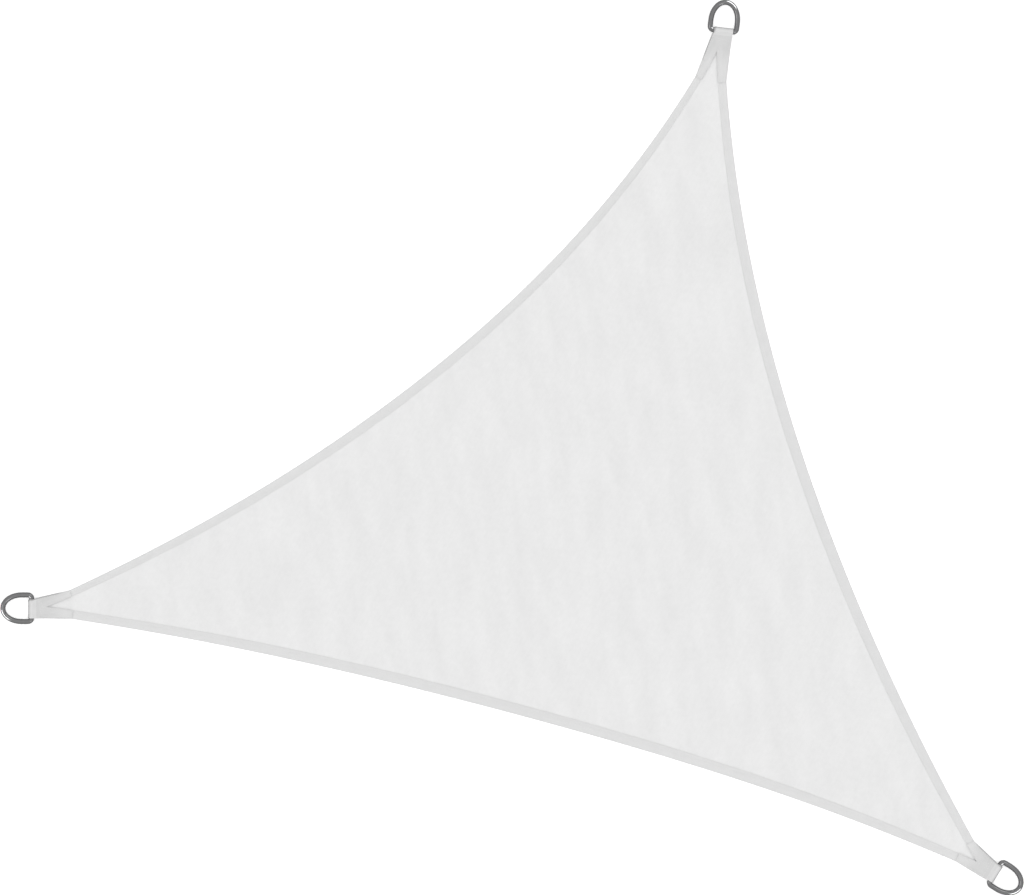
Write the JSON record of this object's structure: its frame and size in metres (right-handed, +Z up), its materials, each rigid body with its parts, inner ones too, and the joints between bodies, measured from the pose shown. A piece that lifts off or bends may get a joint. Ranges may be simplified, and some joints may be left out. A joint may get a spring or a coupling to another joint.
{
  "type": "triangular shade sail",
  "caption": "Triangular garden shade sail of white knitted cloth: hollow edges bound in webbing, and a webbing tab with a steel D-ring at each corner, lying flat.",
  "frame": {"origin": "middle of the sail's bounding box, on the surface that it lies on", "axes": "+X to the right along the longest extent, +Y towards the top corner, +Z up out of the upper face of the cloth"},
  "size_m": [2.1466, 1.8792, 0.0152],
  "materials": {
    "shade_cloth": "matt white knitted shade cloth",
    "edge_webbing": "matt white woven webbing",
    "tab_webbing": "matt off-white woven webbing",
    "steel": "polished round steel bar"
  },
  "bodies": {
    "root": {"sail_cloth": "shade_cloth", "binding_upper": "edge_webbing", "binding_side": "edge_webbing", "binding_lower": "edge_webbing", "tab_left": "tab_webbing", "tab_top": "tab_webbing", "tab_right": "tab_webbing", "ring_left": "steel", "ring_top": "steel", "ring_right": "steel"}
  },
  "joints": []
}
